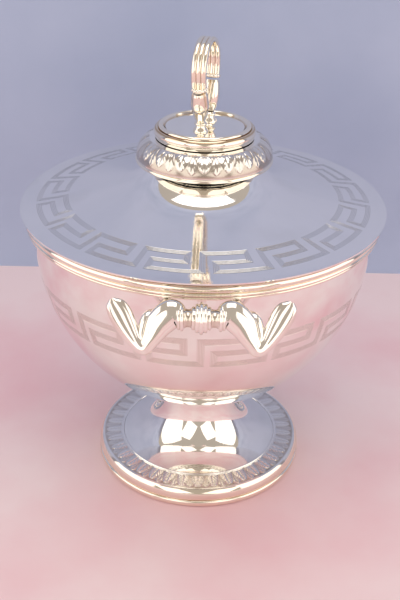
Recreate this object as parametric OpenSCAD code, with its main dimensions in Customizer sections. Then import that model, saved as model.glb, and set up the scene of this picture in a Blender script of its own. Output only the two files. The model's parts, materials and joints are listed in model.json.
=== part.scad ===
// Covered silver sugar bowl. A raised bowl stands on a trumpet foot with a die-rolled
// rim, and has two cast bow handles. Its lift-off lid is a spun disc with a short drum,
// a leaf gallery and a moulded cap, which carries a loop finial on two bell-flower legs.
// Millimetres, +Z up, origin at the centre of the foot's underside.
// The front handle faces -Y and the back handle faces +Y.

/* [Bowl] */
// Largest outside radius of the bowl wall
bowl_r = 70.3; // [58:0.1:85]
// Height of the bowl's rim above the table
rim_z = 124.4; // [110:0.1:150]
// Thickness of the bowl's sheet
bowl_wall = 0.7; // [0.6:0.1:2]
// How far the rim moulding stands out from the wall
rim_out = 3.7; // [2:0.1:6]
// Height of the heavy wire under the rim
rim_wire_h = 3.4; // [2:0.1:5]
// Height of the band of two small reeds under the wire
rim_reed_h = 3.2; // [2:0.1:5]

/* [Foot] */
// Outside radius of the foot
foot_r = 46.9; // [38:0.1:58]
// Height of the plain wire round the foot's base
base_wire_h = 3.0; // [2:0.1:5]
// Height of the convex band above the base wire
foot_band_h = 5.4; // [3:0.1:8]
// Width of the flat ring that carries the leaf border
leaf_ring_w = 10.0; // [6:0.1:14]
// Thickness of the foot's sheet
foot_wall = 0.8; // [0.6:0.1:2]
// Radius of the stem at its waist
waist_r = 15.6; // [12:0.1:19]
// Height of the joint between the stem and the bowl
stem_top_z = 34.4; // [28:0.1:44]

/* [Handles] */
// Distance from the bowl's wall to the grip's axis
grip_out = 10.7; // [9.5:0.1:16]
// Depth of the grip's axis below the rim
grip_drop = 9.3; // [8:0.1:14]
// Half the length of the turned grip
grip_half = 8.4; // [7:0.1:12]
// Radius of the grip's middle bead
bead_r = 5.7; // [4:0.1:6]
// How far each scroll reaches past the end of the grip
scroll_reach = 20.6; // [16:0.1:26]
// Lean of the scrolls, their bends outward and their tips towards the wall
scroll_tilt = 22; // [0:1:35]

/* [Lid] */
// How far the lid's edge stands out past the rim wire
lid_lip = 1.0; // [0.4:0.1:2]
// Thickness of the lid's sheet
lid_wall = 0.7; // [0.6:0.1:1.6]
// Rise of the lid from its edge to the drum
lid_rise = 23.0; // [18:0.1:28]
// Depth of the bezel that drops inside the bowl
bezel_h = 6.2; // [4:0.1:10]
// Radius of the drum
drum_r = 20.6; // [17:0.1:24]
// Height of the drum from the lid's neck to the gallery's top
drum_h = 4.7; // [3.5:0.1:8]
// How far the leaf gallery flares past the drum
gallery_out = 7.3; // [5:0.1:11]
// Height of the leaf gallery
gallery_h = 8.4; // [6:0.1:12]
// Height of the moulded cap
cap_h = 5.0; // [4:0.1:7]

/* [Finial] */
// Height of the finial above the cap's plate
finial_h = 35.2; // [30:0.1:44]
// Outside radius of the loop
loop_r = 11.7; // [9:0.1:14]
// Width of the reeded strap
strap_w = 5.7; // [4:0.1:8]
// Thickness of the reeded strap
strap_t = 2.2; // [1.6:0.1:3]
// Half the distance between the two feet
leg_u = 6.6; // [5:0.1:9]
// Turn of the loop's plane from the handles' line
loop_turn = 15; // [0:1:90]

/* [Fits] */
// Gap all round between the bezel and the inside of the bowl
bezel_gap = 0.6; // [0.3:0.1:1]
// Gap between the lid and the rim it rests on
lid_gap = 0.2; // [0.1:0.05:0.4]

/* [Hidden] */
$fn = 96;
silver = "gainsboro";
warm_silver = "cornsilk";

// Points on a cubic curve from a to d, pulled towards b and c
function curve(a, b, c, d, n) = [
  for (i = [0 : n])
    let (t = i / n, s = 1 - t)
    s * s * s * a + 3 * s * s * t * b + 3 * s * t * t * c + t * t * t * d
];

// Points on a circular arc round c, from angle a0 to a1
function arc(c, r, a0, a1, n) = [
  for (i = [0 : n])
    let (a = a0 + (a1 - a0) * i / n)
    c + r * [cos(a), sin(a)]
];

function reversed(p) = [for (i = [len(p) - 1 : -1 : 0]) p[i]];

// The outline moved sideways by d, to the left of its direction, keeping its number of points
function moved(p, d) = [
  for (i = [0 : len(p) - 1])
    let (
      a = p[max(i - 1, 0)],
      b = p[min(i + 1, len(p) - 1)],
      v = (b - a) / norm(b - a)
    )
    p[i] + d * [-v[1], v[0]]
];

// ---- Bowl outline -------------------------------------------------------------------

seat_r = waist_r + 1.8;
floor_z = stem_top_z;
base_pull = [27.3, 13.1];
side_pull = 41.4;
wall_top_z = rim_z - 9.8;
bowl_outer = curve(
  [seat_r, floor_z],
  [seat_r, floor_z] + base_pull,
  [bowl_r, wall_top_z - side_pull],
  [bowl_r, wall_top_z],
  26
);
bowl_inner_r = bowl_r - bowl_wall;
bowl_inner = moved(bowl_outer, bowl_wall);

// ---- Foot outline -------------------------------------------------------------------

foot_top_z = base_wire_h + foot_band_h;
leaf_out_r = foot_r - 1.7;
leaf_in_r = leaf_out_r - leaf_ring_w;
leaf_rise = 0.8;
skirt_z = foot_top_z + leaf_rise;
foot_in_r = leaf_out_r - 2;
waist_z = stem_top_z - 5.4;
skirt_outer = concat(
  curve(
    [leaf_in_r, skirt_z],
    [leaf_in_r - 8.2, skirt_z + 1.0],
    [waist_r + 2.4, skirt_z + 4.8],
    [waist_r, waist_z],
    22
  ),
  curve(
    [waist_r - 0.05, waist_z + 0.8],
    [waist_r - 0.4, stem_top_z - 2.0],
    [waist_r, stem_top_z - 0.6],
    [seat_r, stem_top_z],
    6
  )
);
skirt_inner = moved(skirt_outer, foot_wall);

// ---- Lid outline --------------------------------------------------------------------

rim_wire_top_z = rim_z - 0.6;
rim_wire_z = rim_wire_top_z - rim_wire_h;
rim_reed_z = rim_wire_z - rim_reed_h;
rim_r = bowl_r + rim_out;
lid_r = rim_r + lid_lip;
lid_under_z = rim_z + lid_gap;
lid_edge_z = lid_under_z + lid_wall;
drum_z = lid_edge_z + lid_rise;
drum_top_z = drum_z + drum_h;
sweep_r = drum_r + 19.4;
sweep_z = lid_edge_z + lid_rise * 0.283;
lid_top = concat(
  curve(
    [lid_r, lid_edge_z],
    [lid_r - 9, lid_edge_z + lid_rise * 0.026],
    [sweep_r + 12, lid_edge_z + lid_rise * 0.135],
    [sweep_r, sweep_z],
    16
  ),
  curve(
    [sweep_r - 0.8, sweep_z + lid_rise * 0.01],
    [sweep_r - 8, lid_edge_z + lid_rise * 0.383],
    [drum_r + 1.6, lid_edge_z + lid_rise * 0.526],
    [drum_r, drum_z],
    18
  )
);
lid_under = moved(lid_top, lid_wall);
bezel_r = bowl_inner_r - bezel_gap;
bezel_wall = 0.8;

gallery_r = drum_r + gallery_out;
gallery_edge_z = drum_top_z - gallery_h;
gallery_wall = 0.8;
gallery_top_r = drum_r - 0.4;
gallery_outer = curve(
  [gallery_r, gallery_edge_z],
  [gallery_r - 0.2, gallery_edge_z + 4.2],
  [gallery_top_r + 5.2, drum_top_z],
  [gallery_top_r - 1, drum_top_z],
  14
);
gallery_inner = moved(gallery_outer, gallery_wall);
wire_r = 0.8;

cap_r = drum_r - 0.2;
cap_top_z = drum_top_z + cap_h;
cap_in_r = cap_r - 4.6;
plate_z = cap_top_z - 1.2;
plate_t = 1.2;

// ---- Finial outline -----------------------------------------------------------------

finial_foot_h = 4.2;
husk_h = 12.4;
husk_u = leg_u + 0.3;
calyx_u = loop_r - 2.0;
husk_z = plate_z + finial_foot_h;
calyx_z = husk_z + husk_h;
calyx_h = 1.9;
loop_mid_r = loop_r - strap_t / 2;
loop_z = plate_z + finial_h - loop_r;
strap_z = calyx_z + calyx_h - 0.4;
husk_lean = atan((calyx_u - husk_u) / husk_h);

// ---- Handle outline -----------------------------------------------------------------

grip_y = bowl_r + grip_out;
grip_z = rim_z - grip_drop;
scroll_tip_x = grip_half + scroll_reach;

// A closed skin through rings of points, each ring round one point of a path
module skin(rings) {
  count = len(rings);
  sides = len(rings[0]);
  corners = [for (ring = rings) each ring];
  walls = [
    for (k = [0 : count - 2], i = [0 : sides - 1])
      let (j = (i + 1) % sides)
      each [
        [k * sides + i, (k + 1) * sides + j, k * sides + j],
        [k * sides + i, (k + 1) * sides + i, (k + 1) * sides + j]
      ]
  ];
  first_mid = len(corners);
  last_mid = first_mid + 1;
  ends = [
    for (i = [0 : sides - 1])
      let (j = (i + 1) % sides, last = (count - 1) * sides)
      each [[first_mid, i, j], [last_mid, last + j, last + i]]
  ];
  middle_of = function (ring) [for (a = [0 : 2]) [for (p = ring) p[a]] * [for (p = ring) 1] / len(ring)];
  polyhedron(
    points = concat(corners, [middle_of(rings[0]), middle_of(rings[count - 1])]),
    faces = concat(walls, ends)
  );
}

// Rings of an oval section along a flat path. Each station is
// [x, depth, z, half width in the plane, half thickness across it].
function oval_rings(stations, sides) = [
  for (k = [0 : len(stations) - 1])
    let (
      s = stations[k],
      a = stations[max(k - 1, 0)],
      b = stations[min(k + 1, len(stations) - 1)],
      run = [b[0] - a[0], b[2] - a[2]],
      v = run / norm(run)
    )
    [
      for (i = [0 : sides - 1])
        let (t = 360 * i / sides, w = s[3] * cos(t), d = s[4] * sin(t))
        [s[0] - v[1] * w, s[1] + d, s[2] + v[0] * w]
    ]
];

// Stations along a smooth line through five-number knots, n steps from each knot to the next
function smooth(knots, n) = [
  for (k = [0 : len(knots) - 2], i = [0 : n - (k == len(knots) - 2 ? 0 : 1)])
    let (
      a = knots[max(k - 1, 0)],
      b = knots[k],
      c = knots[k + 1],
      d = knots[min(k + 2, len(knots) - 1)],
      t = i / n
    )
    b + t * (c - a) / 2 + t * t * (2 * a - 5 * b + 4 * c - d) / 2 + t * t * t * (3 * b - a - 3 * c + d) / 2
];

// ---- Foot ---------------------------------------------------------------------------

// Plain rounded wire that the foot stands on
module foot_base_wire() {
  color(warm_silver)
    rotate_extrude()
      polygon(concat(
        [[foot_in_r - 1, 0]],
        [[foot_r - 0.9, 0]],
        arc([foot_r - base_wire_h / 2, base_wire_h / 2], base_wire_h / 2, -70, 70, 8),
        [[foot_r - 0.9, base_wire_h]],
        [[foot_in_r - 1, base_wire_h]]
      ));
}

// Convex band above the wire, stepped inside to take the leaf ring
module foot_band() {
  color(warm_silver)
    rotate_extrude()
      polygon(concat(
        [[foot_in_r, base_wire_h]],
        curve(
          [foot_r - 1.0, base_wire_h],
          [foot_r + 0.1, base_wire_h + 0.3],
          [foot_r, foot_top_z - 1.6],
          [leaf_out_r, foot_top_z],
          10
        ),
        [[leaf_out_r, foot_top_z - foot_wall]],
        [[foot_in_r, foot_top_z - foot_wall]]
      ));
}

// Flat ring that carries the die-rolled leaf border, with a bead at its inner edge
module foot_leaf_ring() {
  bead = 0.55;
  color(silver)
    rotate_extrude()
      polygon(concat(
        [[leaf_in_r, skirt_z - foot_wall]],
        [[leaf_out_r, foot_top_z - foot_wall]],
        [[leaf_out_r, foot_top_z]],
        arc([leaf_in_r + bead, skirt_z], bead, 0, 180, 6)
      ));
}

// Spun disc and waisted stem from the leaf ring up to the bowl, hollow underneath
module foot_pedestal() {
  color(silver)
    rotate_extrude()
      polygon(concat(
        skirt_outer,
        [[waist_r - foot_wall, stem_top_z]],
        reversed([for (p = skirt_inner) if (p[1] < stem_top_z - 1.5) p])
      ));
}

// Fine collar that covers the soldered joint between stem and bowl
module stem_collar() {
  collar_r = 0.5;
  color(silver)
    translate([0, 0, stem_top_z - collar_r - 0.05])
      rotate_extrude()
        translate([seat_r + collar_r + 0.05, 0])
          circle(r = collar_r, $fn = 24);
}

// ---- Bowl ---------------------------------------------------------------------------

// Raised bowl, open at the top
module bowl_shell() {
  color(silver)
    rotate_extrude()
      polygon(concat(
        [[0, floor_z]],
        bowl_outer,
        [[bowl_r, rim_z]],
        [[bowl_inner_r, rim_z]],
        reversed([for (p = bowl_inner) if (p[1] > floor_z + bowl_wall) p]),
        [[0, floor_z + bowl_wall]]
      ));
}

// Band of two small half-round reeds soldered below the rim wire
module rim_reeds() {
  reed_r = rim_reed_h / 4;
  color(warm_silver)
    rotate_extrude()
      polygon(concat(
        [[bowl_r, rim_reed_z]],
        arc([bowl_r + rim_out * 0.42, rim_reed_z + reed_r], reed_r, -90, 90, 8),
        arc([bowl_r + rim_out * 0.62, rim_reed_z + 3 * reed_r], reed_r, -90, 90, 8),
        [[bowl_r, rim_wire_z]]
      ));
}

// Heavy half-round wire just under the rim
module rim_wire() {
  color(warm_silver)
    rotate_extrude()
      polygon(concat(
        [[bowl_r, rim_wire_z]],
        [[rim_r - 1.5, rim_wire_z]],
        arc([rim_r - rim_wire_h / 2, rim_wire_z + rim_wire_h / 2], rim_wire_h / 2, -80, 80, 10),
        [[rim_r - 1.5, rim_wire_top_z]],
        [[bowl_r, rim_wire_top_z]]
      ));
}

// ---- Handles ------------------------------------------------------------------------

// Turned grip with a middle bead between two pairs of discs and two necks
module grip() {
  neck_r = 3.3;
  end_r = 4.6;
  disc_w = 1.3;
  bead_half = 1.9;
  half = concat(
    arc([bead_r - bead_half, 0], bead_half, 0, 90, 8),
    arc([bead_r - 1.5 - disc_w / 2, bead_half + disc_w / 2], disc_w / 2, -60, 60, 5),
    curve(
      [neck_r + 0.6, bead_half + disc_w],
      [neck_r - 0.4, bead_half + disc_w + 1],
      [neck_r - 0.2, grip_half - 3],
      [neck_r + 0.5, grip_half - 2.4],
      6
    ),
    arc([end_r - disc_w / 2, grip_half - 1.7], disc_w / 2, -70, 70, 5),
    [[end_r - 0.3, grip_half]],
    [[0, grip_half]]
  );
  color(silver)
    translate([0, -grip_y, grip_z])
      rotate([0, 90, 0])
        rotate_extrude()
          polygon(concat(
            half,
            reversed([for (p = half) if (p[1] > 0) [p[0], -p[1]]])
          ));
}

// Cast scroll: a thick limb from the grip's end down to the bend, then up into a leaf-shaped lobe
module scroll(side) {
  x0 = grip_half;
  reach = scroll_reach;
  knots = [
    [x0, 0, 0.3, 4.2, 3.2],
    [x0 + 0.09 * reach, 0, 1.4, 5.2, 3.3],
    [x0 + 0.26 * reach, 0, -2.0, 5.0, 3.1],
    [x0 + 0.40 * reach, 0, -7.6, 3.4, 2.7],
    [x0 + 0.50 * reach, 0.2, -10.6, 2.7, 2.4],
    [x0 + 0.62 * reach, 0.5, -8.6, 2.9, 2.2],
    [x0 + 0.76 * reach, 0.8, -3.6, 3.8, 2.0],
    [x0 + 0.88 * reach, 1.0, 1.4, 4.1, 1.8],
    [x0 + 0.96 * reach, 1.0, 4.4, 3.2, 1.5],
    [x0 + reach, 1.0, 6.2, 1.0, 0.8]
  ];
  stations = [
    for (s = smooth(knots, 3))
      [side * s[0], s[1], s[2], side * s[3], s[4]]
  ];
  color(silver)
    translate([0, -grip_y, grip_z])
      rotate([-scroll_tilt, 0, 0])
        skin(oval_rings(stations, 14));
}

// Cast arm that springs from the wall below the reeds and hooks into the scroll's bend
module arm(side) {
  root_x = grip_half + 3.6;
  root_sink = 0.3;
  root_y = -sqrt(pow(bowl_r, 2) - pow(root_x, 2)) + root_sink;
  root_z = min(grip_z + 2.6, rim_reed_z - 2.2);
  end_x = grip_half + 0.50 * scroll_reach;
  gap_y = root_y + grip_y;
  knots = [
    [root_x, root_y, root_z, 1.9, 2.0],
    [root_x + 1.2, root_y - 0.30 * gap_y, root_z + 0.1, 1.9, 2.0],
    [root_x + 3.8, root_y - 0.62 * gap_y, root_z - 0.8, 1.8, 2.0],
    [end_x - 1.0, root_y - 0.84 * gap_y, grip_z - 1.0, 1.9, 2.0],
    [end_x + 0.6, 1.2 - grip_y - 5 * sin(scroll_tilt), grip_z - 5.4, 2.0, 2.0],
    [end_x + 0.2, 0.4 - grip_y - 10 * sin(scroll_tilt), grip_z - 9.0, 1.9, 1.8]
  ];
  stations = [for (s = smooth(knots, 3)) [side * s[0], s[1], s[2], s[3], s[4]]];
  color(warm_silver)
    skin(round_rings(stations, 12));
}

// Rings of a round section along a path in space, each square to the path
function round_rings(stations, sides) = [
  for (k = [0 : len(stations) - 1])
    let (
      s = stations[k],
      a = stations[max(k - 1, 0)],
      b = stations[min(k + 1, len(stations) - 1)],
      run = [b[0] - a[0], b[1] - a[1], b[2] - a[2]],
      v = run / norm(run),
      u = cross(v, [0.3, 0.2, 1]) / norm(cross(v, [0.3, 0.2, 1])),
      w = cross(u, v)
    )
    [
      for (i = [0 : sides - 1])
        let (t = 360 * i / sides)
        [s[0], s[1], s[2]] + s[3] * cos(t) * u + s[4] * sin(t) * w
    ]
];

// A back piece is the front piece turned half way round
module turned_back() {
  rotate([0, 0, 180])
    children();
}

// ---- Lid ----------------------------------------------------------------------------

// Spun disc that sweeps up like a tent to a narrow neck
module lid_plate() {
  under = [for (p = lid_under) [p[0], max(p[1], lid_under_z)]];
  color(silver)
    rotate_extrude()
      polygon(concat(
        lid_top,
        [[drum_r - lid_wall, drum_z]],
        reversed([for (p = under) if (p[0] < lid_r && p[1] < drum_z - 0.3) p]),
        [[lid_r, lid_under_z]]
      ));
}

// Ring under the lid that keeps it central in the bowl
module lid_bezel() {
  top_z = lookup(bezel_r, [for (p = reversed(lid_under)) [p[0], max(p[1], lid_under_z)]]);
  color(silver)
    translate([0, 0, rim_z - bezel_h])
      difference() {
        cylinder(h = top_z - rim_z + bezel_h - 0.02, r = bezel_r, $fn = 128);
        translate([0, 0, -1])
          cylinder(h = bezel_h + 20, r = bezel_r - bezel_wall, $fn = 128);
      }
}

// Short drum between the lid's neck and the gallery
module lid_drum() {
  wall = 1.0;
  color(silver)
    translate([0, 0, drum_z])
      difference() {
        cylinder(h = drum_h - gallery_wall - 0.1, r = drum_r - 0.1);
        translate([0, 0, -1])
          cylinder(h = drum_h + 2, r = drum_r - 0.1 - wall);
      }
}

// Flared ring of die-rolled leaves round the top of the drum
module leaf_gallery() {
  color(silver)
    rotate_extrude()
      polygon(concat(
        gallery_outer,
        [[cap_in_r, drum_top_z]],
        [[cap_in_r, drum_top_z - gallery_wall]],
        reversed(gallery_inner)
      ));
}

// Thin ring that closes the gallery's underside between the lid's neck and the leaves
module gallery_soffit() {
  sheet = 0.5;
  neck_z = gallery_edge_z + 1.9;
  edge_z = gallery_edge_z + 0.6;
  neck_side_r = lookup(neck_z, [for (p = lid_top) [p[1], p[0]]]) + 0.15;
  edge_side_r = gallery_r - gallery_wall - 0.5;
  color(silver)
    rotate_extrude()
      polygon([
        [neck_side_r, neck_z],
        [edge_side_r, edge_z],
        [edge_side_r, edge_z + sheet],
        [neck_side_r, neck_z + sheet]
      ]);
}

// Fine wire that stiffens the gallery's edge
module gallery_wire() {
  color(silver)
    translate([0, 0, gallery_edge_z - wire_r - 0.1])
      rotate_extrude()
        translate([gallery_r - wire_r, 0])
          circle(r = wire_r, $fn = 24);
}

// Turned moulding: a round torus, a groove and a small bead
module cap_moulding() {
  torus_r = 2.1;
  bead = 1.1;
  color(warm_silver)
    rotate_extrude()
      polygon(concat(
        [[cap_in_r, drum_top_z]],
        [[cap_r - torus_r, drum_top_z]],
        arc([cap_r - torus_r, drum_top_z + torus_r], torus_r, -80, 60, 12),
        [[cap_r - 2.1, cap_top_z - bead - 0.3]],
        arc([cap_r - 2.9, cap_top_z - bead], bead, 10, 150, 8),
        [[cap_in_r, plate_z - 0.2]]
      ));
}

// Flat plate inside the cap, which the finial's feet are soldered to
module cap_plate() {
  color(silver)
    translate([0, 0, plate_z - plate_t])
      cylinder(h = plate_t, r = cap_in_r);
}

// ---- Finial -------------------------------------------------------------------------

// Puts a leg piece at one end of the loop; end is -1 in front and 1 at the back
module at_leg(end, u, z, lean) {
  rotate([0, 0, -loop_turn])
    translate([0, end * u, z])
      rotate([-end * lean, 0, 0])
        children();
}

// Small flared foot with a knuckle ring
module finial_foot(end) {
  color(warm_silver)
    at_leg(end, leg_u, plate_z, 0)
      rotate_extrude($fn = 48)
        polygon(concat(
          [[0, 0]],
          [[3.0, 0]],
          curve([3.0, 0], [2.9, 1.0], [2.0, 1.3], [1.9, 2.4], 6),
          arc([1.8, 3.1], 0.7, -60, 60, 5),
          [[1.8, finial_foot_h]],
          [[0, finial_foot_h]]
        ));
}

// Bell-flower husk that leans outward above the foot
module husk(end) {
  color(warm_silver)
    at_leg(end, husk_u, husk_z, husk_lean)
      rotate_extrude($fn = 48)
        polygon(concat(
          [[0, 0.02]],
          curve([1.8, 0.02], [3.2, 2.6], [4.0, 6.5], [3.2, husk_h - 1.0], 12),
          [[2.8, husk_h]],
          [[0, husk_h]]
        ));
}

// Scalloped collar where the husk opens round the strap
module calyx(end) {
  color(warm_silver)
    at_leg(end, calyx_u, calyx_z + 0.3, husk_lean)
      rotate_extrude($fn = 48)
        polygon(concat(
          [[0, 0.0]],
          [[2.6, 0.0]],
          arc([2.5, calyx_h / 2 - 0.1], 0.8, -75, 75, 6),
          [[0, calyx_h - 0.2]]
        ));
}

// Strap of three reeds bent into a horseshoe loop
module finial_strap() {
  reeds = 3;
  reed_w = strap_w / reeds;
  crown = strap_t / 2;
  web = crown * 0.62;
  section = [
    for (side = [1, -1], k = [0 : reeds - 1], i = [0 : 3])
      let (
        along = (k + i / 4) * reed_w - strap_w / 2,
        t = side * (web + (crown - web) * sin(180 * i / 4))
      )
      [side * along, t]
  ];
  bend = [for (i = [0 : 24]) let (a = 180 - 180 * i / 24) [loop_mid_r * cos(a), loop_z + loop_mid_r * sin(a)]];
  tail = curve(
    [-calyx_u, strap_z],
    [-calyx_u - 0.6, strap_z + 2.4],
    [-loop_mid_r, loop_z - 2.6],
    [-loop_mid_r, loop_z - 0.6],
    6
  );
  path = concat(tail, bend, reversed([for (p = tail) [-p[0], p[1]]]));
  rings = [
    for (k = [0 : len(path) - 1])
      let (
        a = path[max(k - 1, 0)],
        b = path[min(k + 1, len(path) - 1)],
        v = (b - a) / norm(b - a)
      )
      [for (q = section) [q[0], path[k][0] - v[1] * q[1], path[k][1] + v[0] * q[1]]]
  ];
  color(warm_silver)
    rotate([0, 0, -loop_turn])
      skin(rings);
}

foot_base_wire();
foot_band();
foot_leaf_ring();
foot_pedestal();
stem_collar();
bowl_shell();
rim_reeds();
rim_wire();
grip();  // front_grip
scroll(-1);  // front_left_scroll
scroll(1);  // front_right_scroll
arm(-1);  // front_left_arm
arm(1);  // front_right_arm
turned_back() grip();  // back_grip
turned_back() scroll(-1);  // back_left_scroll
turned_back() scroll(1);  // back_right_scroll
turned_back() arm(-1);  // back_left_arm
turned_back() arm(1);  // back_right_arm
lid_plate();
lid_bezel();
lid_drum();
leaf_gallery();
gallery_soffit();
gallery_wire();
cap_moulding();
cap_plate();
finial_foot(-1);  // front_finial_foot
husk(-1);  // front_husk
calyx(-1);  // front_calyx
finial_foot(1);  // back_finial_foot
husk(1);  // back_husk
calyx(1);  // back_calyx
finial_strap();
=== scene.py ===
import json
import math

import bpy
import numpy as np
from mathutils import Matrix, Vector


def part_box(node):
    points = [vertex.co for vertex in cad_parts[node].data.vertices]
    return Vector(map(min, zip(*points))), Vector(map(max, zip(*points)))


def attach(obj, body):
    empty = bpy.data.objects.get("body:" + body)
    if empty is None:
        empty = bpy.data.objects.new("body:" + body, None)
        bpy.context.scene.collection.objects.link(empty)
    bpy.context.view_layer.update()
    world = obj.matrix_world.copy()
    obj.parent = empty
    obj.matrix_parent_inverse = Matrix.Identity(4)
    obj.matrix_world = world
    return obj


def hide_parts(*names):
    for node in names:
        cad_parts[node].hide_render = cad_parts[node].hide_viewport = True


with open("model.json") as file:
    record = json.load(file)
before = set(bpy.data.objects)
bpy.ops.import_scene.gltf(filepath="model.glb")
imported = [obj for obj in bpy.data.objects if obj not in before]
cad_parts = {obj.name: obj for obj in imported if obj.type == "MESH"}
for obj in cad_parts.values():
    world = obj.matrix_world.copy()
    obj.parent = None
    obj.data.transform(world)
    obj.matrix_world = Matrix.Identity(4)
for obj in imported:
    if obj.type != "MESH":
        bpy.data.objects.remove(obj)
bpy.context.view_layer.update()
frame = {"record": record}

MM = 0.001

# ---- Foot base wire -------------------------------------------------------------------
# The plain round-edged wire that the whole bowl stands on: drawn silver wire bent into
# a ring and soldered under the foot. It is polished, with fine scratches from sliding
# on trays. This section also defines how turned pieces and silver are made.


def curve(a, b, c, d, n):
    """Points on a cubic curve from a to d, pulled towards b and c.

    Each point is the sum of the four, weighted by the cubic powers of t and of 1 - t.
    """
    t = np.linspace(0, 1, n + 1)[:, None]
    a, b, c, d = (np.array(p, float) for p in (a, b, c, d))
    s = 1 - t
    return s**3 * a + 3 * s**2 * t * b + 3 * s * t**2 * c + t**3 * d


def arc(centre, r, a0, a1, n):
    """Points on a circle round centre, from angle a0 to a1 in degrees."""
    a = np.radians(np.linspace(a0, a1, n + 1))[:, None]
    return np.array(centre) + r * np.hstack([np.cos(a), np.sin(a)])


def moved(p, d):
    """The outline moved sideways by d, to the left of its direction.

    Each point moves along the unit direction between its neighbours, turned by a quarter.
    """
    v = np.gradient(p, axis=0)
    v = v / np.linalg.norm(v, axis=1)[:, None]
    return p + d * np.stack([-v[:, 1], v[:, 0]], 1)


def outline(*parts):
    """Parts of an outline in millimetres joined into one array in metres."""
    return np.vstack([np.array(p, float).reshape(-1, 2) for p in parts]) * MM


def surface(name, rings, closed=False, recess=None, sharp=32):
    """Mesh from an array of rings by sides by 3, in metres.

    Each ring closes on itself. If closed, the last ring joins the first; if not, both ends
    are filled with a fan to the middle of the ring. recess marks, from 0 to 1, where the
    silver is dulled: tarnished hollows, and painted shade on some pieces.
    """
    m, n = rings.shape[:2]
    i, j = np.meshgrid(np.arange(m if closed else m - 1), np.arange(n), indexing="ij")
    i, j = i.ravel(), j.ravel()
    i2, j2 = (i + 1) % m, (j + 1) % n
    quads = np.stack([i * n + j, i * n + j2, i2 * n + j2, i2 * n + j], 1)
    points = rings.reshape(-1, 3)
    fans = np.zeros((0, 3), int)
    if not closed:
        k = np.arange(n)
        low = np.stack([np.full(n, m * n), (k + 1) % n, k], 1)
        high = np.stack([np.full(n, m * n + 1), (m - 1) * n + k, (m - 1) * n + (k + 1) % n], 1)
        fans = np.vstack([low, high])
        points = np.vstack([points, rings[0].mean(0), rings[-1].mean(0)])
    sizes = np.concatenate([np.full(len(quads), 4), np.full(len(fans), 3)])
    around = np.concatenate([quads.ravel(), fans.ravel()])
    mesh = bpy.data.meshes.new(name)
    mesh.vertices.add(len(points))
    mesh.vertices.foreach_set("co", points.astype(np.float32).ravel())
    mesh.loops.add(len(around))
    mesh.loops.foreach_set("vertex_index", around.astype(np.int32))
    mesh.polygons.add(len(sizes))
    mesh.polygons.foreach_set("loop_start", (np.cumsum(sizes) - sizes).astype(np.int32))
    mesh.update(calc_edges=True)
    mesh.validate()
    mesh.shade_smooth()
    mesh.set_sharp_from_angle(angle=math.radians(sharp))
    if recess is not None:
        values = np.zeros(len(points))
        values[: m * n] = np.clip(recess, 0, 1).ravel()
        hollow = mesh.attributes.new("recess", "FLOAT", "POINT")
        hollow.data.foreach_set("value", values.astype(np.float32))
    obj = bpy.data.objects.new(name, mesh)
    bpy.context.scene.collection.objects.link(obj)
    return obj


def turned(name, line, sides=384, closed=True, lift=None, recess=None, sharp=32):
    """Outline of [radius, height] points swept round Z, with the metal on the outline's left.

    lift moves each point of the swept grid along the outline's normal, outwards.
    """
    angle = np.linspace(0, 2 * np.pi, sides, endpoint=False)
    if closed:
        v = np.roll(line, -1, 0) - np.roll(line, 1, 0)
    else:
        v = np.gradient(line, axis=0)
    v = v / np.maximum(np.linalg.norm(v, axis=1)[:, None], 1e-12)
    out = np.stack([v[:, 1], -v[:, 0]], 1)
    rise = np.zeros((len(line), sides)) if lift is None else lift
    r = line[:, :1] + out[:, :1] * rise
    z = line[:, 1:] + out[:, 1:] * rise
    rings = np.stack([r * np.sin(angle), -r * np.cos(angle), z], 2)
    return surface(name, rings, closed, recess, sharp)


class Shade:
    """One value in a material. Arithmetic on it adds Math nodes to the material."""

    def __init__(self, tree, socket=None):
        self.tree, self.socket = tree, socket

    def node(self, kind, settings=None, inputs=None, out=0):
        """Adds a node of any type. inputs maps a socket to a value or to another Shade."""
        made = self.tree.nodes.new(kind)
        for key, value in (settings or {}).items():
            setattr(made, key, value)
        for key, value in (inputs or {}).items():
            if isinstance(value, Shade):
                self.tree.links.new(value.socket, made.inputs[key])
            else:
                made.inputs[key].default_value = value
        return Shade(self.tree, made.outputs[out])

    def maths(self, kind, *values):
        return self.node("ShaderNodeMath", {"operation": kind}, dict(enumerate(values)))

    def __add__(self, other):
        return self.maths("ADD", self, other)

    def __sub__(self, other):
        return self.maths("SUBTRACT", self, other)

    def __rsub__(self, other):
        return self.maths("SUBTRACT", other, self)

    def __mul__(self, other):
        return self.maths("MULTIPLY", self, other)

    def __truediv__(self, other):
        return self.maths("DIVIDE", self, other)

    def __rtruediv__(self, other):
        return self.maths("DIVIDE", other, self)

    __radd__ = __add__
    __rmul__ = __mul__

    def clamp(self):
        return self.node("ShaderNodeClamp", None, {0: self})

    def mixed(self, a, b):
        """Colour a where this value is 0 and colour b where it is 1."""
        return self.node("ShaderNodeMix", {"data_type": "RGBA"}, {0: self, 6: a, 7: b}, 2)


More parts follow.
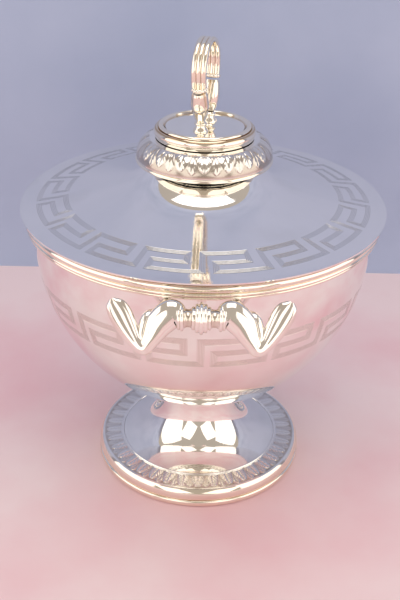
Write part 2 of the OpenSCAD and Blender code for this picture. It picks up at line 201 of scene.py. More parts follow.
def silver(name, bright, dull, rough, engraving=None):
    """Polished silver: bright where it is rubbed, dull and rougher in its tarnished hollows
    and in the painted shade that some pieces mark the same way.

    It has soft clouding and fine crossing scratches. engraving makes a height in metres and
    a cover from 0 to 1 out of the object's own coordinates.
    """
    material = bpy.data.materials.new(name)
    material.use_nodes = True
    tree = material.node_tree
    shader = Shade(tree, tree.nodes["Principled BSDF"])
    here = shader.node("ShaderNodeTexCoord", None, None, 3)

    def noise(scale, detail, stretch=(1, 1, 1), turn=(0, 0, 0)):
        spot = here.node("ShaderNodeMapping", None, {0: here, 2: turn, 3: stretch})
        return here.node("ShaderNodeTexNoise", None, {"Vector": spot, "Scale": scale, "Detail": detail})

    cloud = noise(38.0, 4.0)
    fine = noise(620.0, 3.0)
    hollow = here.node("ShaderNodeAttribute", {"attribute_name": "recess"}, None, 2)
    # The recess attribute carries tarnish in hollows, and painted shade on the scroll edges, the rim
    # wire's top and the husk slits.
    tarnish_and_shade = (hollow * 0.85 + (cloud - 0.52) * 0.5).clamp()
    streak_a = noise(160.0, 2.0, (26, 1, 1), (0.2, 0.5, 0.3))
    streak_b = noise(160.0, 2.0, (1, 1, 30), (0.6, 0.1, 0.9))
    scratch = (streak_a - 0.5) * (streak_b - 0.5)
    height = scratch * 0.00004 + (cloud - 0.5) * 0.00006
    colour_cover = tarnish_and_shade
    roughness = rough + tarnish_and_shade * 0.16 + (fine - 0.5) * 0.05 + scratch * 0.2
    if engraving is not None:
        cut, cover = engraving(here)
        height = height + cut
        colour_cover = (tarnish_and_shade + cover * 0.42).clamp()
        roughness = roughness + cover * 0.14
    colour = colour_cover.mixed((*bright, 1), (*dull, 1))
    bump = here.node("ShaderNodeBump", None, {"Strength": 1.0, "Distance": 1.0, "Height": height})
    links = tree.links
    sockets = tree.nodes["Principled BSDF"].inputs
    links.new(colour.socket, sockets["Base Color"])
    links.new(roughness.clamp().socket, sockets["Roughness"])
    links.new(bump.socket, sockets["Normal"])
    sockets["Metallic"].default_value = 1.0
    return material


def corners(box):
    """The low and the high corner of a box of the frame, in millimetres."""
    return [np.array(corner) / MM for corner in box]


def place(obj, material, slot, *nodes):
    """Gives the piece its material and puts it on the body of the CAD nodes it stands for."""
    obj.data.materials.append(material)
    body = next(b for b, names in frame["record"]["behaviour"]["bodies"].items() if nodes[0] in names)
    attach(obj, body)
    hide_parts(*nodes)


moulding_silver = silver("moulding_silver", (0.95, 0.88, 0.76), (0.50, 0.33, 0.17), 0.06)
wire_high = corners(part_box("foot_base_wire"))[1]
foot_r, wire_h = wire_high[0], wire_high[2]
band_high = corners(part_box("foot_band"))[1]
foot_top = band_high[2]
leaf_low, leaf_high = corners(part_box("foot_leaf_ring"))
leaf_out = leaf_high[0]
foot_in = leaf_out - 2
wire = outline(
    [foot_in - 1, 0.1],
    [foot_in - 0.9, 0],
    curve((foot_r - 2.0, 0), (foot_r - 0.4, 0), (foot_r, 0.5), (foot_r, wire_h / 2), 10),
    curve(
        (foot_r, wire_h / 2), (foot_r, wire_h - 0.5),
        (foot_r - 0.4, wire_h), (foot_r - 1.2, wire_h), 10,
    )[1:],
    [foot_in - 1, wire_h],
)
place(turned("BaseWire", wire), moulding_silver, "moulding_silver", "foot_base_wire")

# ---- Foot band ------------------------------------------------------------------------
# The convex band above the wire, rolled from silver strip and soldered to the wire and
# to the leaf ring. Its rounded face is polished; the step below it holds warm tarnish.

band = outline(
    [foot_in, wire_h],
    [foot_r - 1.0, wire_h],
    curve(
        (foot_r - 1.0, wire_h), (foot_r + 0.1, wire_h + 0.3),
        (foot_r, foot_top - 1.6), (leaf_out, foot_top), 24,
    )[1:],
    [leaf_out, leaf_low[2]],
    [foot_in, leaf_low[2]],
)
band_hollow = np.exp(-(((band[:, 1:] / MM - wire_h) / 0.5) ** 2)) * np.ones(384)
place(turned("FootBand", band, recess=band_hollow), moulding_silver, "moulding_silver", "foot_band")

# ---- Foot leaf ring -------------------------------------------------------------------
# The flat border of the foot: strip rolled with pointed leaves that face outwards, each
# with a rib and side veins, between a beaded inner edge and a plain outer edge.


def leaves(count, turn, rise, tip, power, roof):
    """Height from 0 to 1 of a row of leaves, with a second row showing between them.

    turn is the angle as a share of a full turn, and rise runs from the leaves' base at 0 to
    the border's edge at 1. A leaf's half width falls off towards its tip by the given power.
    Its back is an arch raised to the power roof, and a groove marks the rib between slanting
    veins.
    """
    tops = []
    for shift, reach, level in ((0.0, tip, 1.0), (0.5, tip + 0.07, 0.62)):
        side = np.abs((turn * count + shift + 0.5) % 1.0 - 0.5)
        width = 0.47 * np.clip(1 - (np.clip(rise, 0, 2) / reach) ** power, 0, 1) ** 0.62
        inside = np.clip(1 - (side / np.maximum(width, 1e-6)) ** 2, 0, 1) * (width > 0.01)
        rib = np.exp(-((side / 0.05) ** 2))
        vein = 0.5 + 0.5 * np.cos(2 * np.pi * (rise * 4.2 - side * 5.5))
        tops.append(level * inside**roof * (1 - 0.5 * rib - 0.22 * vein * (1 - rib)))
    return np.maximum(tops[0], np.where(tops[0] > 0.02, 0, tops[1]))


border_silver = silver("border_silver", (0.94, 0.915, 0.87), (0.42, 0.33, 0.25), 0.07)
leaf_ring_width = 10
leaf_in = leaf_out - leaf_ring_width
ring_sides = 1152
leaf_relief = 0.34 * MM
flat_count = 56
flat_r = np.linspace(leaf_in + 1.0, leaf_out - 0.5, flat_count)
flat_share = (flat_r - leaf_in - 1.2) / (leaf_out - leaf_in - 1.8)
flat_z = foot_top + (leaf_out - flat_r) / (leaf_out - leaf_in) * 0.6
ring_turn = np.linspace(0, 1, ring_sides, endpoint=False)
relief = leaves(38, ring_turn[None, :], flat_share[:, None], 0.86, 2.6, 0.55)
fade = np.clip(np.minimum(flat_share, 1 - flat_share)[:, None] * 14, 0, 1)
bead_line = arc((leaf_in + 0.5, foot_top + 0.75), 0.45, 0, 180, 8)
ring = outline(
    [leaf_in, leaf_low[2] + 0.05],
    [leaf_out, leaf_low[2]],
    [leaf_out, foot_top - 0.05],
    np.stack([flat_r, flat_z], 1)[::-1],
    bead_line,
    [leaf_in, foot_top],
)
ring_lift = np.zeros((len(ring), ring_sides))
flat_rows = slice(3, 3 + flat_count)
ring_lift[flat_rows] = (relief * fade * leaf_relief)[::-1]
ring_hollow = np.zeros_like(ring_lift)
ring_hollow[flat_rows] = ((1 - relief) * 0.75 * fade)[::-1]
leaf_ring = turned("FootLeafRing", ring, ring_sides, lift=ring_lift, recess=ring_hollow, sharp=60)
place(leaf_ring, border_silver, "rolled_border_silver", "foot_leaf_ring")

# ---- Foot pedestal --------------------------------------------------------------------
# The spun disc and stem between the leaf ring and the bowl, one sheet of silver raised
# over a chuck and polished like a mirror. A fine collar covers the joint under the bowl.

plain_silver = silver("plain_silver", (0.95, 0.925, 0.875), (0.60, 0.48, 0.34), 0.04)
stem_top = corners(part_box("foot_pedestal"))[1][2]
ring_z = foot_top + 0.8
waist_r, waist_z = 15.6, stem_top - 5.4
foot_sheet = 0.8
stem_line = np.vstack([
    curve(
        (leaf_in, ring_z), (leaf_in - 8.2, ring_z + 1.0),
        (waist_r + 2.4, ring_z + 4.8), (waist_r, waist_z), 90,
    ),
    curve(
        (waist_r - 0.05, waist_z + 0.8), (waist_r - 0.4, stem_top - 2),
        (waist_r, stem_top - 0.6), (waist_r + 1.8, stem_top), 20,
    ),
])
stem = outline(stem_line, moved(stem_line, foot_sheet)[::-1])
place(turned("StemAndDisc", stem, 512), plain_silver, "plain_silver", "foot_pedestal")
collar_low, collar_high = corners(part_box("stem_collar"))
collar_r = (collar_high[2] - collar_low[2]) / 2
collar = outline(arc((collar_high[0] - collar_r, collar_low[2] + collar_r), collar_r, 0, 348, 29))
place(turned("StemCollar", collar), moulding_silver, "moulding_silver", "stem_collar")

# ---- Bowl -----------------------------------------------------------------------------
# The bowl itself, raised from one sheet of silver and planished smooth. A Greek key is
# cut round it by hand: each stroke is a bundle of fine parallel lines with mitred turns.


def greek_key(along, across, period, height, stroke, lines):
    """Height in metres and cover from 0 to 1 of a running key; along and across are in metres.

    Each bar of the motif has a square distance, the larger of the distances past its side
    and past its end, and the nearest bar counts. The lines are a cosine of that distance,
    and the stroke stops at about half its width.
    """
    spot = along.maths("WRAP", along, period, 0.0)
    low, mid, high = stroke / 2, height / 2, height - stroke / 2
    bars = (
        (0.0, 0.0, low, high), (period, period, low, high), (0.0, 0.75 * period, high, high),
        (0.75 * period, 0.75 * period, mid, high), (0.2 * period, 0.75 * period, mid, mid),
        (0.2 * period, 0.2 * period, low, mid), (0.2 * period, period, low, low),
    )
    nearest = None
    for x0, x1, y0, y1 in bars:
        past_x = (spot - (x0 + x1) / 2).maths("ABSOLUTE", spot - (x0 + x1) / 2) - (x1 - x0) / 2
        past_y = across.maths("ABSOLUTE", across - (y0 + y1) / 2) - (y1 - y0) / 2
        far = past_x.maths("MAXIMUM", past_x, past_y)
        nearest = far if nearest is None else far.maths("MINIMUM", nearest, far)
    nearest = nearest.maths("MAXIMUM", nearest, 0.0)
    cover = (1 - (nearest - stroke * 0.47) / (stroke * 0.05)).clamp()
    wave = nearest.maths("COSINE", nearest * (2 * math.pi * lines / stroke))
    return (wave * 0.00004 - 0.00005) * cover, cover * (0.55 - wave * 0.45)


def turn_share(here):
    """Share of a full turn round Z, from the front, as a Shade."""
    parts = [here.node("ShaderNodeSeparateXYZ", None, {0: here}, i) for i in range(3)]
    return here.maths("ARCTAN2", parts[0], parts[1] * -1.0) / (2 * math.pi), parts


key_count = 17
key_low, key_high, key_mean_r = 85.0 * MM, 99.3 * MM, 67.2 * MM


def bowl_key(here):
    """The key between two heights on the bowl, where the surface faces away from the axis."""
    share, parts = turn_share(here)
    around = 2 * math.pi * key_mean_r
    height, stroke, lines = key_high - key_low, 2.8 * MM, 5
    cut, cover = greek_key(share * around, parts[2] - key_low, around / key_count, height, stroke, lines)
    facing = here.node("ShaderNodeTexCoord", None, None, 1)
    face_x, face_y = (here.node("ShaderNodeSeparateXYZ", None, {0: facing}, i) for i in range(2))
    outside = here.maths("GREATER_THAN", face_x * parts[0] + face_y * parts[1], 0.0)
    return cut * outside, cover * outside


bowl_silver = silver("bowl_silver", (0.955, 0.935, 0.905), (0.50, 0.38, 0.27), 0.035, bowl_key)
bowl_low, bowl_high = corners(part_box("bowl_shell"))
bowl_r, rim_z, floor_z = bowl_high[0], bowl_high[2], bowl_low[2]
wall = 0.7
seat_r = waist_r + 1.8
bowl_out = curve(
    (seat_r, floor_z), (seat_r + 27.3, floor_z + 13.1),
    (bowl_r, rim_z - 51.2), (bowl_r, rim_z - 9.8), 110,
)
bowl_in = moved(bowl_out, wall)
bowl_in = bowl_in[bowl_in[:, 1] > floor_z + wall]
bowl = outline(
    [2.0, floor_z],
    bowl_out,
    [bowl_r, rim_z - 0.15],
    [bowl_r - 0.15, rim_z],
    [bowl_r - wall + 0.15, rim_z],
    [bowl_r - wall, rim_z - 0.15],
    bowl_in[::-1],
    [2.0, floor_z + wall],
)
place(turned("Bowl", bowl, 384, closed=False), bowl_silver, "engraved_silver", "bowl_shell")

# ---- Rim mouldings --------------------------------------------------------------------
# A heavy half-round wire just under the bowl's mouth and, below it, a band of two small
# reeds. Both are drawn silver soldered to the wall, warm brown in the grooves. The wire's
# top, under the lid's edge, is painted darker as shade.

reeds_low, reeds_high = corners(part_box("rim_reeds"))
rim_low, rim_high = corners(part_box("rim_wire"))
reed_r = (reeds_high[2] - reeds_low[2]) / 4
rim_out = rim_high[0] - bowl_r
reeds = outline(
    [bowl_r, reeds_low[2]],
    arc((bowl_r + rim_out * 0.42, reeds_low[2] + reed_r), reed_r, -90, 90, 16),
    arc((bowl_r + rim_out * 0.62, reeds_low[2] + 3 * reed_r), reed_r, -90, 90, 16),
    [bowl_r, reeds_high[2]],
)
reed_hollow = np.exp(-(((reeds[:, 1:] / MM - reeds_low[2] - 2 * reed_r) / 0.3) ** 2)) * np.ones(512)
rim_reeds = turned("RimReeds", reeds, 512, recess=reed_hollow)
place(rim_reeds, moulding_silver, "moulding_silver", "rim_reeds")
rim_h = rim_high[2] - rim_low[2]
rim = outline(
    [bowl_r, rim_low[2]],
    [rim_high[0] - 1.5, rim_low[2]],
    arc((rim_high[0] - rim_h / 2, rim_low[2] + rim_h / 2), rim_h / 2, -80, 80, 24),
    [rim_high[0] - 1.5, rim_high[2]],
    [bowl_r, rim_high[2]],
)
# The top 0.7 mm of the wire is painted darker as shade under the lid's edge.
rim_top_painted_shade = np.clip((rim[:, 1:] / MM - rim_high[2] + 0.7) / 0.7, 0, 1) * np.ones(512)
rim_wire = turned("RimWire", rim, 512, recess=rim_top_painted_shade)
place(rim_wire, moulding_silver, "moulding_silver", "rim_wire")

# ---- Grips ----------------------------------------------------------------------------
# The turned middle of each bow handle: a fat bead of five discs between two waisted
# necks, each neck ending in a ring. Solid silver, turned and then soldered to the scrolls.

cast_silver = silver("cast_silver", (0.95, 0.915, 0.86), (0.48, 0.34, 0.20), 0.055)
for end in ("front", "back"):
    grip_low, grip_high = corners(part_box(end + "_grip"))
    half = grip_high[0]
    bead_r = (grip_high[2] - grip_low[2]) / 2
    middle = (grip_low + grip_high) / 2
    right = np.vstack([
        arc((bead_r - 0.75, 0), 0.75, 0, 80, 8),
        arc((bead_r - 1.3, 1.45), 0.7, -40, 80, 8),
        arc((bead_r - 2.2, 2.8), 0.62, -40, 80, 8),
        curve((3.4, 3.5), (2.9, 4.3), (3.1, half - 3), (3.7, half - 2.4), 14),
        arc((3.95, half - 1.7), 0.65, -70, 70, 8),
        arc((3.7, half - 0.55), 0.5, -60, 90, 8),
    ])
    line = outline(np.vstack([(right * (1, -1))[::-1], right[1:]]))
    angle = np.linspace(0, 2 * np.pi, 160, endpoint=False)
    rings = np.stack([
        np.repeat(line[:, 1:], 160, 1),
        line[:, :1] * np.cos(angle) + middle[1] * MM,
        line[:, :1] * np.sin(angle) + middle[2] * MM,
    ], 2)
    groove = np.clip((4.2 - line[:, :1] / MM) * 0.5, 0, 1) * np.ones(160)
    grip = surface(end + "_turned_grip", rings, recess=groove)
    place(grip, cast_silver, "cast_silver", end + "_grip")

# ---- Scrolls and arms -----------------------------------------------------------------
# Cast silver scrolls at both ends of each grip: a thick limb drops to a bend and climbs
# again as a leaf-shaped lobe. Cast arms spring from the wall and hook into the bend.


def smooth(knots, n):
    """Points on a smooth line through the knots, by the Catmull-Rom formula, n from each to the next."""
    knots = np.array(knots, float)
    padded = np.vstack([knots[:1], knots, knots[-1:]])
    t = np.linspace(0, 1, n, endpoint=False)[:, None]
    parts = []
    for a, b, c, d in zip(padded, padded[1:], padded[2:], padded[3:]):
        bend = t**2 * (2 * a - 5 * b + 4 * c - d) / 2
        parts.append(b + t * (c - a) / 2 + bend + t**3 * (3 * b - a - 3 * c + d) / 2)
    return np.vstack(parts + [knots[-1:]])


grip_low, grip_high = corners(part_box("front_grip"))
grip_half, grip_y, grip_z = (grip_high[0], *((grip_low + grip_high) / 2)[1:])
reach = corners(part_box("front_right_scroll"))[1][0] - grip_half
scroll_knots = [
    [grip_half, 0, 0.3, 4.2, 3.2],
    [grip_half + 0.09 * reach, 0, 1.4, 5.2, 3.3],
    [grip_half + 0.26 * reach, 0, -2.0, 5.0, 3.1],
    [grip_half + 0.40 * reach, 0, -7.6, 3.4, 2.7],
    [grip_half + 0.50 * reach, 0.2, -10.6, 2.7, 2.4],
    [grip_half + 0.62 * reach, 0.5, -8.6, 2.9, 2.2],
    [grip_half + 0.76 * reach, 0.8, -3.6, 3.8, 2.0],
    [grip_half + 0.88 * reach, 1.0, 1.4, 4.1, 1.8],
    [grip_half + 0.96 * reach, 1.0, 4.4, 3.2, 1.5],
    [grip_half + reach, 1.0, 6.2, 1.0, 0.8],
]
line = smooth(scroll_knots, 14)
run = np.gradient(line[:, [0, 2]], axis=0)
run = run / np.linalg.norm(run, axis=1)[:, None]
share = np.linspace(0, 1, len(line))[:, None]
angle = np.linspace(0, 2 * np.pi, 72, endpoint=False)
lobe = np.clip((share - 0.5) * 4, 0, 1)
vein = 1 - 0.16 * lobe * np.exp(-((np.cos(angle) / 0.22) ** 2))
across = line[:, 3:4] * np.cos(angle) * 0.985
thick = line[:, 4:5] * np.sin(angle) * vein * 0.97
scroll_lean = math.radians(22)
deep = line[:, 1:2] + thick
tall = line[:, 2:3] + run[:, :1] * across
scroll_rings = np.stack([
    line[:, :1] - run[:, 1:] * across,
    grip_y + deep * math.cos(scroll_lean) + tall * math.sin(scroll_lean),
    grip_z + tall * math.cos(scroll_lean) - deep * math.sin(scroll_lean),
], 2) * MM
root_x = grip_half + 3.6
root_y = -math.sqrt(bowl_r**2 - root_x**2) + 0.3
root_z = reeds_low[2] - 2.2
end_x = grip_half + 0.5 * reach
gap = root_y - grip_y
lean_out = math.sin(scroll_lean)
arm_knots = [
    [root_x, root_y, root_z, 1.9, 2.0],
    [root_x + 1.2, root_y - 0.30 * gap, root_z + 0.1, 1.9, 2.0],
    [root_x + 3.8, root_y - 0.62 * gap, root_z - 0.8, 1.8, 2.0],
    [end_x - 1.0, root_y - 0.84 * gap, grip_z - 1.0, 1.9, 2.0],
    [end_x + 0.6, grip_y + 1.2 - 5 * lean_out, grip_z - 5.4, 2.0, 2.0],
    [end_x + 0.2, grip_y + 0.4 - 10 * lean_out, grip_z - 9.0, 1.9, 1.8],
]
arm_line = smooth(arm_knots, 12)
arm_run = np.gradient(arm_line[:, :3], axis=0)
arm_run = arm_run / np.linalg.norm(arm_run, axis=1)[:, None]
side_dir = np.cross(arm_run, (0.3, 0.2, 1))
side_dir = side_dir / np.linalg.norm(side_dir, axis=1)[:, None]
up_dir = np.cross(side_dir, arm_run)
round_turn = np.linspace(0, 2 * np.pi, 48, endpoint=False)[None, :, None]
arm_rings = (
    arm_line[:, None, :3]
    + arm_line[:, 3:4, None] * np.cos(round_turn) * side_dir[:, None]
    + arm_line[:, 4:5, None] * np.sin(round_turn) * up_dir[:, None]
) * MM


def outward(rings):
    """The rings in the order that makes the surface face outwards, judged by its volume."""
    middle = rings.mean((0, 1))
    p, q, r = rings[:-1] - middle, np.roll(rings, -1, 1)[:-1] - middle, rings[1:] - middle
    return rings if (np.cross(q - p, r - p) * p).sum() > 0 else rings[:, ::-1]


for end, turn in (("front", 1), ("back", -1)):
    for side, mirror in (("left", -1), ("right", 1)):
        spin = np.array((mirror * turn, turn, 1))
        # The scroll's narrow side edges are painted darker as shade; its lobe is a little duller all over.
        scroll_edge_shade_and_dull_lobe = 0.25 * np.cos(angle) ** 8 + 0.2 * lobe
        scroll = surface(f"{end}_{side}_cast_scroll", outward(scroll_rings * spin), recess=scroll_edge_shade_and_dull_lobe)
        place(scroll, cast_silver, "cast_silver", f"{end}_{side}_scroll")
        arm = surface(f"{end}_{side}_cast_arm", outward(arm_rings * spin))
        place(arm, cast_silver, "cast_silver", f"{end}_{side}_arm")

# ---- Lid ------------------------------------------------------------------------------
# The lid: a disc spun from sheet that sweeps up like a tent to a narrow neck, with a key
# cut round its edge. A plain ring soldered underneath keeps it central in the bowl.

lid_low, lid_high = corners(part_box("lid_plate"))
drum_low, drum_high = corners(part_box("lid_drum"))
lid_r, neck_r = lid_high[0], drum_high[0] + 0.1
lid_sheet = 0.7
lid_edge = lid_low[2] + lid_sheet
lid_rise = lid_high[2] - lid_edge
sweep_r, sweep_z = neck_r + 19.4, lid_edge + lid_rise * 0.283
lid_key_in, lid_key_out, lid_key_r = 55.3 * MM, 68.5 * MM, 62.0 * MM


def lid_key(here):
    """The key between two radii on the lid, where the surface faces up."""
    share, parts = turn_share(here)
    around = 2 * math.pi * lid_key_r
    radius = here.maths("SQRT", parts[0] * parts[0] + parts[1] * parts[1])
    height, stroke, lines = lid_key_out - lid_key_in, 2.3 * MM, 4
    cut, cover = greek_key(share * around, lid_key_out - radius, around / key_count, height, stroke, lines)
    facing = here.node("ShaderNodeTexCoord", None, None, 1)
    outside = here.maths("GREATER_THAN", here.node("ShaderNodeSeparateXYZ", None, {0: facing}, 2), 0.0)
    return cut * outside, cover * outside


lid_silver = silver("lid_silver", (0.95, 0.935, 0.91), (0.34, 0.31, 0.29), 0.04, lid_key)
lid_top = np.vstack([
    curve(
        (lid_r, lid_edge), (lid_r - 9, lid_edge + lid_rise * 0.026),
        (sweep_r + 12, lid_edge + lid_rise * 0.135), (sweep_r, sweep_z), 110,
    ),
    curve(
        (sweep_r - 0.8, sweep_z + lid_rise * 0.01), (sweep_r - 8, lid_edge + lid_rise * 0.383),
        (neck_r + 1.6, lid_edge + lid_rise * 0.526), (neck_r, lid_high[2]), 120,
    ),
])
lid_under = moved(lid_top, lid_sheet)
lid_under[:, 1] = np.maximum(lid_under[:, 1], lid_low[2])
keep = (lid_under[:, 1] < lid_high[2] - 0.3) & (lid_under[:, 0] < lid_r - 0.2)
lid = outline(
    [lid_r, lid_low[2] + 0.15],
    lid_top,
    [neck_r - lid_sheet, lid_high[2]],
    lid_under[keep][::-1],
    [lid_r - 0.15, lid_low[2]],
)
place(turned("Lid", lid, 400), lid_silver, "engraved_silver", "lid_plate")
bezel_low, bezel_high = corners(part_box("lid_bezel"))
bezel_r, bezel_wall = bezel_high[0], 0.8
bezel = outline(
    [bezel_r - bezel_wall, bezel_low[2] + 0.1],
    [bezel_r - bezel_wall + 0.1, bezel_low[2]],
    [bezel_r - 0.1, bezel_low[2]],
    [bezel_r, bezel_low[2] + 0.1],
    [bezel_r, bezel_high[2]],
    [bezel_r - bezel_wall, bezel_high[2]],
)
place(turned("LidBezel", bezel), plain_silver, "plain_silver", "lid_bezel")

# ---- Drum and leaf gallery ------------------------------------------------------------
# A short drum stands on the lid's neck. Round its top flares a gallery of die-rolled
# leaves that hang tip down over a plain strip. A fine wire stiffens its edge, and a thin
# soldered ring closes it underneath.

drum_r, drum_wall = drum_high[0], 1.0
drum = outline(
    [drum_r - drum_wall, drum_low[2]], [drum_r, drum_low[2]],
    [drum_r, drum_high[2]], [drum_r - drum_wall, drum_high[2]],
)
place(turned("LidDrum", drum, 512), plain_silver, "plain_silver", "lid_drum")
gallery_high = corners(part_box("leaf_gallery"))[1]
gallery_r, gallery_top = gallery_high[0], gallery_high[2]
edge_z = gallery_top - 8.4
plain_share = 0.2
gallery_line = curve(
    (gallery_r, edge_z), (gallery_r - 0.2, edge_z + 4.2),
    (neck_r + 4.8, gallery_top), (neck_r - 1.4, gallery_top), 90,
)
gallery_sheet = 0.8
gallery_skin = moved(gallery_line, leaf_relief / MM)
gallery_under = moved(gallery_line, gallery_sheet)
cap_low, cap_high = corners(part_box("cap_moulding"))
cap_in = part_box("cap_plate")[1][0] / MM
gallery_steps = np.linalg.norm(np.diff(gallery_line, axis=0), axis=1)
gallery_share = 1 - np.concatenate([[0], np.cumsum(gallery_steps)]) / gallery_steps.sum()
gallery_sides = 1120
gallery_turn = np.linspace(0, 1, gallery_sides, endpoint=False)
hang = np.clip((gallery_share - plain_share) / (1 - plain_share), 0, 1)
gallery_relief = leaves(18, gallery_turn[None, :], hang[:, None], 0.78, 1.5, 0.9)
gallery_fade = np.clip(np.minimum(gallery_share - plain_share, 1 - gallery_share)[:, None] * 18, 0, 1)
gallery = outline(
    gallery_skin,
    [cap_in, gallery_top - leaf_relief / MM],
    [cap_in, gallery_top - gallery_sheet],
    gallery_under[::-1],
)
gallery_lift = np.zeros((len(gallery), gallery_sides))
gallery_lift[: len(gallery_skin)] = gallery_relief * gallery_fade * leaf_relief
gallery_hollow = np.zeros_like(gallery_lift)
gallery_hollow[: len(gallery_skin)] = (1 - gallery_relief) * gallery_fade * 0.8
leaf_gallery = turned(
    "LeafGallery", gallery, gallery_sides, lift=gallery_lift, recess=gallery_hollow, sharp=60,
)
place(leaf_gallery, border_silver, "rolled_border_silver", "leaf_gallery")
soffit_low, soffit_high = corners(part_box("gallery_soffit"))
soffit_sheet = 0.5
soffit_in = np.interp(soffit_high[2] - soffit_sheet, lid_top[:, 1], lid_top[:, 0]) + 0.2
soffit = outline(
    [soffit_in, soffit_high[2] - soffit_sheet], [soffit_high[0], soffit_low[2]],
    [soffit_high[0], soffit_low[2] + soffit_sheet], [soffit_in, soffit_high[2]],
)
place(turned("GallerySoffit", soffit, 512), plain_silver, "plain_silver", "gallery_soffit")
edge_low, edge_high = corners(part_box("gallery_wire"))
edge_r = (edge_high[2] - edge_low[2]) / 2
edge = outline(arc((edge_high[0] - edge_r, edge_low[2] + edge_r), edge_r, 0, 350, 35))
place(turned("GalleryWire", edge), moulding_silver, "moulding_silver", "gallery_wire")

# ---- Cap ------------------------------------------------------------------------------
# The turned cap of the drum: a torus, a groove and a small bead round a flat mirror-
# bright plate, which the finial's feet are soldered to.

cap_r, cap_z, cap_top = cap_high[0], cap_low[2], cap_high[2]
cap = outline(
    [cap_in, cap_z], [cap_r - 0.5, cap_z],
    arc((cap_r - 2.1, cap_z + 2.1), 2.1, -35, 60, 24),
    [cap_r - 2.1, cap_top - 1.4],
    arc((cap_r - 2.9, cap_top - 1.1), 1.1, 10, 150, 16),
    [cap_in, cap_top - 1.4],
)
cap_hollow = np.exp(-(((cap[:, 1:] / MM - cap_top + 1.45) / 0.35) ** 2)) * np.ones(384)
cap_moulding = turned("CapMoulding", cap, recess=cap_hollow)
place(cap_moulding, moulding_silver, "moulding_silver", "cap_moulding")
plate_low, plate_high = corners(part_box("cap_plate"))
plate = outline([1.0, plate_low[2]], [cap_in, plate_low[2]], [cap_in, plate_high[2]], [1.0, plate_high[2]])
place(turned("CapPlate", plate, closed=False), plain_silver, "plain_silver", "cap_plate")

# ---- Finial legs ----------------------------------------------------------------------
# Two cast legs carry the loop: a flared foot with a knuckle, a bell-flower husk of three
# petals with slits between them, and a scalloped calyx that holds the strap's end.

loop_turn = math.radians(15)
loop_axis = np.array((math.sin(loop_turn), math.cos(loop_turn), 0))
loop_width = np.array((math.cos(loop_turn), -math.sin(loop_turn), 0))
leg_u, husk_u, calyx_u = 6.6, 6.9, 9.7
leg_foot_h, husk_h = 4.2, 12.4
plate_z = plate_high[2]
lean = math.atan((calyx_u - husk_u) / husk_h)
petal = np.linspace(0, 2 * np.pi, 96, endpoint=False)


def leg_piece(name, line, u, z, tilt, sign, scallop, recess=None):
    """A turned outline put on a leg, at distance u along the loop's plane and height z.

    Its rings are scaled by scallop round the leg's own axis and tilted outwards.
    """
    radius = line[:, :1] * scallop
    along = radius * np.cos(petal)
    wide = radius * np.sin(petal)
    up = line[:, 1:] * np.ones(len(petal))
    out = u + along * math.cos(tilt) + up * math.sin(tilt)
    height = z - along * math.sin(tilt) + up * math.cos(tilt)
    flat_part = out[..., None] * loop_axis + wide[..., None] * loop_width
    rings = flat_part * sign + height[..., None] * (0, 0, 1)
    return surface(name, outward(rings * MM), recess=recess, sharp=50)


for end, sign in (("front", -1), ("back", 1)):
    foot_line = np.vstack([
        [[3.0, 0.0]], curve((3.0, 0.1), (2.9, 1.0), (2.0, 1.3), (1.85, 2.4), 14),
        arc((1.8, 3.1), 0.65, -60, 60, 12), [[1.75, 4.15]],
    ])
    foot = leg_piece(end + "_leg_foot", foot_line, leg_u, plate_z, 0, sign, np.ones(96))
    place(foot, moulding_silver, "moulding_silver", end + "_finial_foot")
    husk_line = np.vstack([
        [[1.75, 0.05]],
        curve((1.8, 0.1), (3.2, 2.6), (4.0, 6.5), (3.2, husk_h - 1.0), 44),
        [[2.8, husk_h - 0.1]],
    ])
    climb = np.clip(husk_line[:, 1:] / husk_h, 0, 1)
    slit = np.abs(np.cos(petal * 1.5)) ** 0.5
    husk_scale = 1 - climb * (0.24 * (1 - slit)) - 0.03 * np.cos(petal * 24) ** 2 * climb
    husk_shade = climb * (1 - slit) * 1.1
    husk_z = plate_z + leg_foot_h
    husk = leg_piece(end + "_bell_husk", husk_line, husk_u, husk_z, lean, sign, husk_scale, husk_shade)
    place(husk, moulding_silver, "moulding_silver", end + "_husk")
    calyx_line = np.vstack([[[2.5, 0.02]], arc((2.45, 0.85), 0.8, -75, 75, 14), [[2.2, 1.66]]])
    calyx_scale = 1 - 0.06 * np.cos(petal * 9) ** 2 * np.ones((len(calyx_line), 1))
    calyx_z = husk_z + husk_h + 0.3
    calyx = leg_piece(end + "_scalloped_calyx", calyx_line, calyx_u, calyx_z, lean, sign, calyx_scale)
    place(calyx, moulding_silver, "moulding_silver", end + "_calyx")

# ---- Finial loop ----------------------------------------------------------------------
# A flat strap of three reeds, drawn and bent into a horseshoe, its ends held by the
# calyxes. Fingers have polished its crown; the two grooves stay warm and dull.

strap_w, strap_t, loop_r, finial_h = 5.7, 2.2, 11.7, 35.2
mid_r, loop_z = loop_r - strap_t / 2, plate_z + finial_h - loop_r
reed_points = 46
reed_share = np.linspace(0, 1, reed_points)
reed_wave = np.abs(np.sin(3 * np.pi * reed_share)) ** 0.7
half_t = strap_t / 2 * (0.62 + 0.38 * reed_wave) - 0.02
flat = (reed_share - 0.5) * (strap_w - 0.05)
section = np.vstack([np.stack([flat, half_t], 1), np.stack([-flat, -half_t], 1)])
strap_low = plate_z + 18.1
tail = curve(
    (-calyx_u, strap_low), (-calyx_u - 0.6, strap_low + 2.4),
    (-mid_r, loop_z - 2.6), (-mid_r, loop_z - 0.3), 22,
)
bend = arc((0, loop_z), mid_r, 180, 0, 110)
path = np.vstack([tail, bend, (tail * (-1, 1))[::-1]])
heading = np.gradient(path, axis=0)
heading = heading / np.linalg.norm(heading, axis=1)[:, None]
strap_u = path[:, :1] - heading[:, 1:] * section[:, 1]
strap_z = path[:, 1:] + heading[:, :1] * section[:, 1]
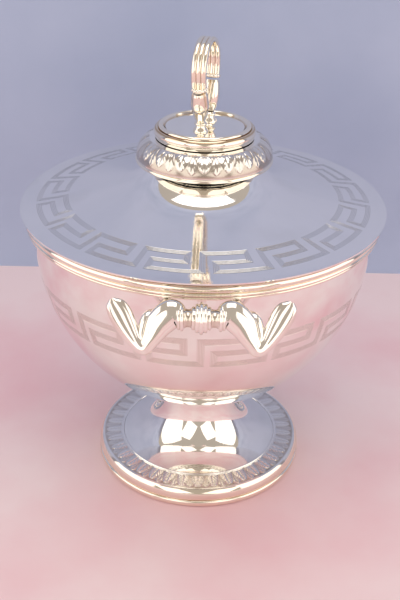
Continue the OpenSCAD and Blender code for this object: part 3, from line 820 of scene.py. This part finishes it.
strap_wide = section[:, 0] * np.ones((len(path), 1))
strap_rings = strap_u[..., None] * loop_axis + strap_wide[..., None] * loop_width
strap_rings = strap_rings + strap_z[..., None] * (0, 0, 1)
strap_hollow = np.concatenate([1 - reed_wave, 1 - reed_wave])[None, :] ** 2 * np.ones((len(path), 1))
strap_hollow[:, [0, reed_points - 1, reed_points, -1]] = 0
strap = surface("FinialStrap", outward(strap_rings * MM), recess=strap_hollow, sharp=45)
place(strap, moulding_silver, "moulding_silver", "finial_strap")

# ---- Table, wall and light ------------------------------------------------------------
# Not part of the bowl: a pale rosy table, a pale blue wall close behind it, and tall
# white panels of soft light at both sides, which the polished silver reflects.


def backdrop(name, points, pale, deep, rough):
    """A plain sheet of painted board with faint soft clouding."""
    mesh = bpy.data.meshes.new(name)
    mesh.from_pydata(points, [], [(0, 1, 2, 3)])
    obj = bpy.data.objects.new(name, mesh)
    bpy.context.scene.collection.objects.link(obj)
    material = bpy.data.materials.new(name)
    material.use_nodes = True
    tree = material.node_tree
    sockets = tree.nodes["Principled BSDF"].inputs
    here = Shade(tree, tree.nodes["Principled BSDF"]).node("ShaderNodeTexCoord", None, None, 3)
    cloud = here.node("ShaderNodeTexNoise", None, {"Vector": here, "Scale": 9.0, "Detail": 5.0})
    cover = ((cloud - 0.4) * 3.0).clamp()
    tree.links.new(cover.mixed((*pale, 1), (*deep, 1)).socket, sockets["Base Color"])
    sockets["Roughness"].default_value = rough
    mesh.materials.append(material)


def panel(name, start, end, height, strength):
    """An upright soft-light panel from one floor point to another, facing the bowl."""
    light = bpy.data.lights.new(name, "AREA")
    light.shape = "RECTANGLE"
    light.color = (1, 0.975, 0.94)
    light.size = math.hypot(end[0] - start[0], end[1] - start[1])
    light.size_y = height
    light.energy = strength * light.size * height
    obj = bpy.data.objects.new(name, light)
    bpy.context.scene.collection.objects.link(obj)
    middle = Vector(((start[0] + end[0]) / 2, (start[1] + end[1]) / 2, height / 2))
    facing = Vector((-(end[1] - start[1]), end[0] - start[0], 0)).normalized()
    if facing.dot(Vector((-middle.x, -middle.y, 0))) < 0:
        facing = -facing
    obj.location = middle
    obj.rotation_euler = facing.to_track_quat("-Z", "Z").to_euler()


wall_y = 0.18
table_corners = [(-2, -2, 0), (2, -2, 0), (2, wall_y, 0), (-2, wall_y, 0)]
backdrop("Table", table_corners, (0.86, 0.69, 0.71), (0.80, 0.48, 0.53), 0.6)
wall_corners = [(-2, wall_y, 0), (2, wall_y, 0), (2, wall_y, 0.7), (-2, wall_y, 0.7)]
backdrop("Wall", wall_corners, (0.41, 0.48, 0.66), (0.34, 0.41, 0.59), 0.7)
panel("LeftPanel", (-0.8, wall_y), (-0.8, -0.9), 0.9, 3.4)
panel("RightPanel", (0.8, wall_y), (0.8, -0.9), 0.9, 3.4)
panel("FrontLeftPanel", (-0.8, -0.9), (-0.24, -1.2), 0.9, 3.4)
panel("FrontRightPanel", (0.8, -0.9), (0.24, -1.2), 0.9, 3.4)
overhead = bpy.data.lights.new("Overhead", "AREA")
overhead.size = 1.0
overhead.energy = 5.0
overhead_obj = bpy.data.objects.new("Overhead", overhead)
bpy.context.scene.collection.objects.link(overhead_obj)
overhead_obj.location = (0, -0.2, 1.4)
world = bpy.data.worlds.new("Room")
bpy.context.scene.world = world
world.use_nodes = True
world.node_tree.nodes["Background"].inputs[0].default_value = (0.62, 0.54, 0.47, 1)
world.node_tree.nodes["Background"].inputs[1].default_value = 0.8

# ---- Camera ---------------------------------------------------------------------------
# Looks down at the bowl from close in front, at about thirty degrees.

camera = bpy.data.cameras.new("Camera")
camera.sensor_width = 36
camera.lens = 55.89
camera.clip_start = 0.01
camera_obj = bpy.data.objects.new("Camera", camera)
bpy.context.scene.collection.objects.link(camera_obj)
pitch, roll = math.radians(29.03), math.radians(1.15)
forward = Vector((0, math.cos(pitch), -math.sin(pitch)))
level, raised = Vector((1, 0, 0)), Vector((0, math.sin(pitch), math.cos(pitch)))
across_view = math.cos(roll) * level + math.sin(roll) * raised
up_view = -math.sin(roll) * level + math.cos(roll) * raised
camera_obj.matrix_world = Matrix((
    (across_view.x, up_view.x, -forward.x, -0.00061),
    (across_view.y, up_view.y, -forward.y, -0.3582),
    (across_view.z, up_view.z, -forward.z, 0.2762),
    (0, 0, 0, 1),
))
bpy.context.scene.camera = camera_obj
bpy.context.scene.view_settings.view_transform = "Standard"
